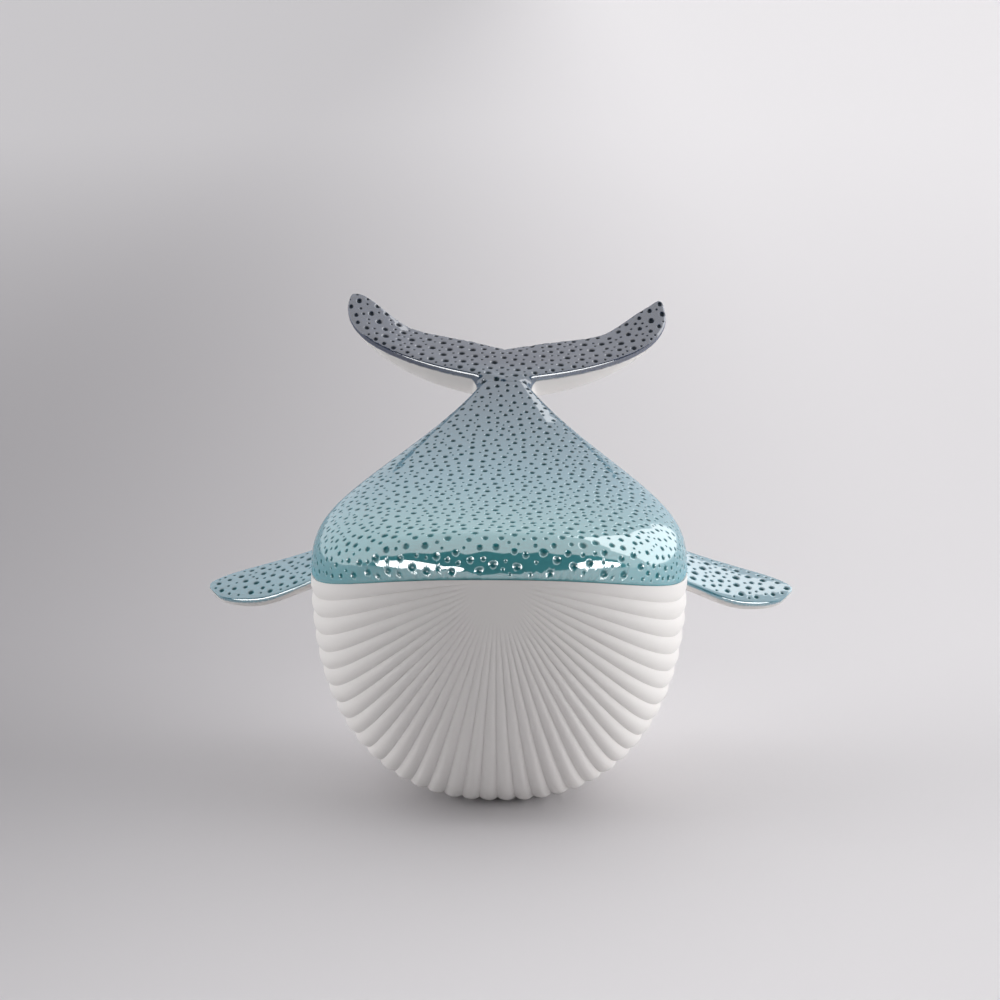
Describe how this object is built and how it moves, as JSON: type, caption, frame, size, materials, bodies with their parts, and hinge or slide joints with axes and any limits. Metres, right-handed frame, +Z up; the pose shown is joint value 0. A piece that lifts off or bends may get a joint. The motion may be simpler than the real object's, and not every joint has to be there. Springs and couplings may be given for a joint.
{
  "type": "whale figurine",
  "caption": "Hollow porcelain whale figurine with a blunt head, pleated white throat, glazed dimpled back, pectoral fins and raised tail flukes, standing on a flat foot.",
  "frame": {"origin": "on the table, in the middle of the flat foot", "axes": "+Z up, -Y out of the chin, X across the fins with the whale's left at +X"},
  "size_m": [0.3064, 0.2718, 0.2246],
  "materials": {
    "lustre_glaze": "gloss glaze, teal at the head and slate grey at the tail",
    "white_bisque": "unglazed matt white"
  },
  "bodies": {
    "root": {"back_shell": "lustre_glaze", "belly_shell": "white_bisque", "left_pectoral_fin": "lustre_glaze", "right_pectoral_fin": "lustre_glaze", "tail_flukes": "lustre_glaze"}
  },
  "joints": []
}
